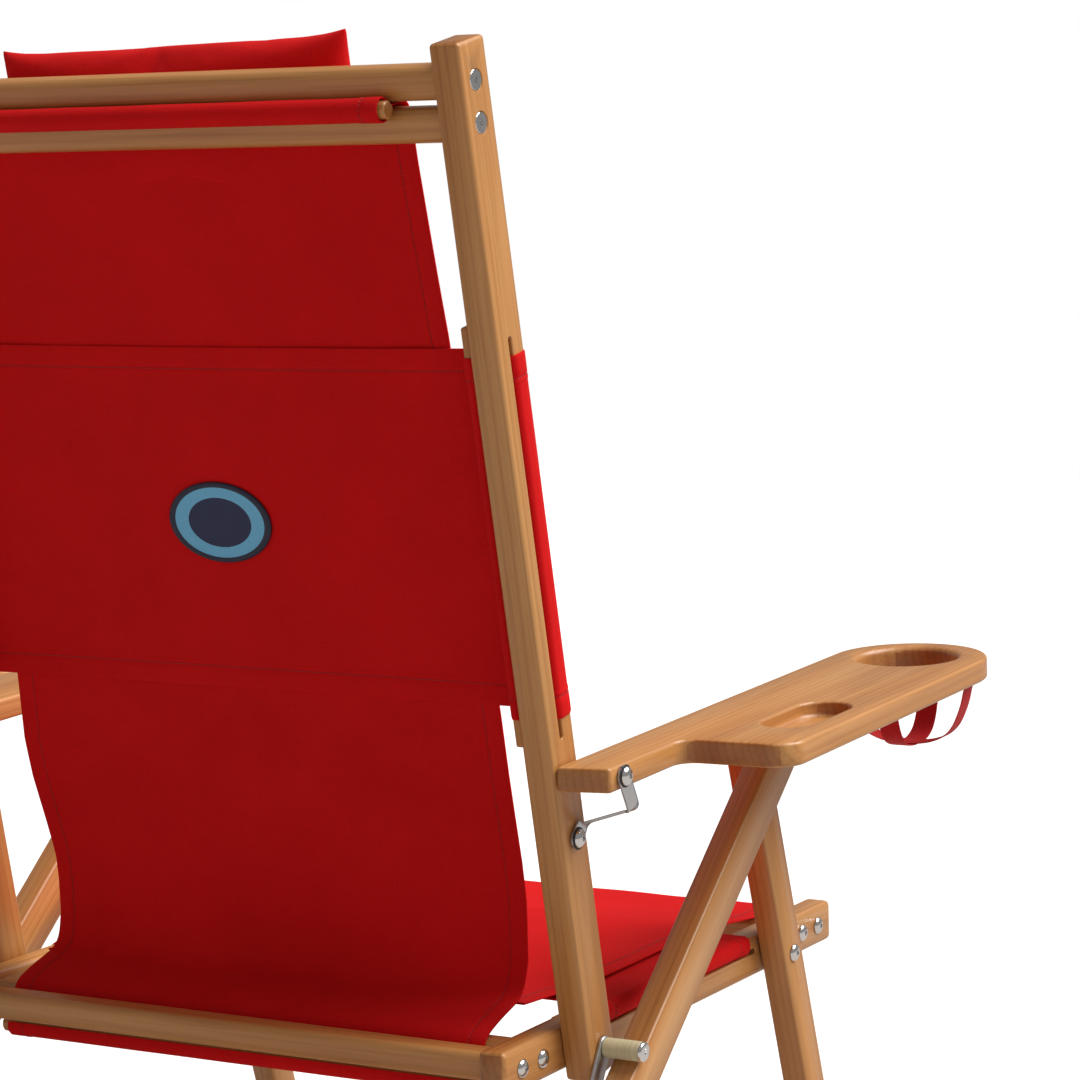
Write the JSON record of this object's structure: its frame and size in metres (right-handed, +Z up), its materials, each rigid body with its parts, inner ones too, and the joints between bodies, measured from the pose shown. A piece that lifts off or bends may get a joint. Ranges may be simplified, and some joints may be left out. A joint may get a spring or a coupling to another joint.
{
  "type": "folding sling arm chair",
  "caption": "Tall folding wooden arm chair with a canvas sling seat and back, lumbar band, head pillow, and arms with cup hole and tray recess",
  "frame": {"origin": "on the floor, middle of the chair's footprint box", "axes": "+Z up; the chair faces -Y; the sitter's right hand is at -X; X = 0 is the plane of symmetry"},
  "size_m": [0.912, 0.8644, 1.1586],
  "materials": {
    "varnished_wood": "satin varnish",
    "red_canvas": "matte woven canvas",
    "zinc_steel": "plain zinc-plated",
    "pale_nylon": "matte",
    "badge": "embroidered"
  },
  "bodies": {
    "seat": {"seat_rail_left": "varnished_wood", "seat_rail_right": "varnished_wood", "rear_bar_outer": "varnished_wood", "rear_bar_inner": "varnished_wood", "front_bar_inner": "varnished_wood", "front_bar_outer": "varnished_wood", "seat_sling": "red_canvas", "rear_sling_dowel": "varnished_wood", "front_sling_dowel": "varnished_wood", "seat_band": "red_canvas", "seat_batten_left": "varnished_wood", "seat_batten_right": "varnished_wood", "front_leg_bolt_left": "zinc_steel", "front_leg_bolt_right": "zinc_steel"},
    "back": {"upright_left": "varnished_wood", "upright_right": "varnished_wood", "cap_bolt_upper_left": "zinc_steel", "cap_bolt_upper_right": "zinc_steel", "cap_bolt_lower_left": "zinc_steel", "cap_bolt_lower_right": "zinc_steel", "top_bar_upper": "varnished_wood", "top_bar_lower": "varnished_wood", "back_sling": "red_canvas", "back_sling_dowel": "varnished_wood", "lumbar_band": "red_canvas", "lumbar_batten_left": "varnished_wood", "lumbar_batten_right": "varnished_wood", "back_patch": "badge", "headrest_pillow": "red_canvas", "link_bolt_lower_left": "zinc_steel", "link_bolt_lower_right": "zinc_steel"},
    "front_legs": {"front_leg_left": "varnished_wood", "front_leg_right": "varnished_wood", "leg_top_bolt_left": "zinc_steel", "leg_top_bolt_right": "zinc_steel", "front_stretcher": "varnished_wood"},
    "rear_legs": {"rear_leg_left": "varnished_wood", "rear_leg_right": "varnished_wood", "rear_leg_cap_left": "zinc_steel", "rear_leg_cap_right": "zinc_steel", "rear_stretcher": "varnished_wood"},
    "guide_left": {"guide_strap_left": "zinc_steel", "peg_sleeve_left": "pale_nylon", "peg_bolt_left": "zinc_steel", "lower_peg_left": "pale_nylon"},
    "arm_left": {"arm_left": "varnished_wood", "arm_bracket_left": "zinc_steel", "cup_straps_left": "red_canvas"},
    "link_left": {"link_left": "zinc_steel", "link_bolt_upper_left": "zinc_steel"},
    "guide_right": {"guide_strap_right": "zinc_steel", "peg_sleeve_right": "pale_nylon", "peg_bolt_right": "zinc_steel", "lower_peg_right": "pale_nylon"},
    "arm_right": {"arm_right": "varnished_wood", "arm_bracket_right": "zinc_steel", "cup_straps_right": "red_canvas"},
    "link_right": {"link_right": "zinc_steel", "link_bolt_upper_right": "zinc_steel"}
  },
  "joints": [
    {"name": "fold", "type": "hinge", "parent": "seat", "child": "front_legs", "pos_m": [0, -0.2764, 0.35979], "axis": [-1, 0, 0], "range_deg": [0, 46]},
    {"name": "back_fold", "type": "hinge", "parent": "seat", "child": "back", "pos_m": [0, 0.07765, 0.34], "axis": [-1, 0, 0], "range_deg": [0, 46.5]},
    {"name": "guide_turn_left", "type": "hinge", "parent": "seat", "child": "guide_left", "pos_m": [0.313, 0.07765, 0.34], "axis": [-1, 0, 0], "range_deg": [0, 2]},
    {"name": "arm_turn_left", "type": "hinge", "parent": "front_legs", "child": "arm_left", "pos_m": [0.313, -0.20181, 0.55856], "axis": [1, 0, 0], "range_deg": [0, 52.5]},
    {"name": "link_turn_left", "type": "hinge", "parent": "back", "child": "link_left", "pos_m": [0.313, 0.1228, 0.51714], "axis": [1, 0, 0], "range_deg": [0, 43.5]},
    {"name": "guide_turn_right", "type": "hinge", "parent": "seat", "child": "guide_right", "pos_m": [-0.313, 0.07765, 0.34], "axis": [-1, 0, 0], "range_deg": [0, 2]},
    {"name": "arm_turn_right", "type": "hinge", "parent": "front_legs", "child": "arm_right", "pos_m": [-0.313, -0.20181, 0.55856], "axis": [1, 0, 0], "range_deg": [0, 52.5]},
    {"name": "link_turn_right", "type": "hinge", "parent": "back", "child": "link_right", "pos_m": [-0.313, 0.1228, 0.51714], "axis": [1, 0, 0], "range_deg": [0, 43.5]},
    {"name": "rear_leg_slide", "type": "slide", "parent": "guide_right", "child": "rear_legs", "axis": [0, 0.7344, -0.6787], "range_m": [0, 0.175]}
  ],
  "couplings": [
    {"joint": "back_fold", "follows": "fold", "ratio": 1},
    {"joint": "guide_turn_left", "follows": "fold", "ratio": 0.02},
    {"joint": "arm_turn_left", "follows": "fold", "ratio": 1.092},
    {"joint": "link_turn_left", "follows": "fold", "ratio": 0.9},
    {"joint": "guide_turn_right", "follows": "fold", "ratio": 0.02},
    {"joint": "arm_turn_right", "follows": "fold", "ratio": 1.092},
    {"joint": "link_turn_right", "follows": "fold", "ratio": 0.9},
    {"joint": "rear_leg_slide", "follows": "fold", "m_per_rad": 0.208}
  ]
}
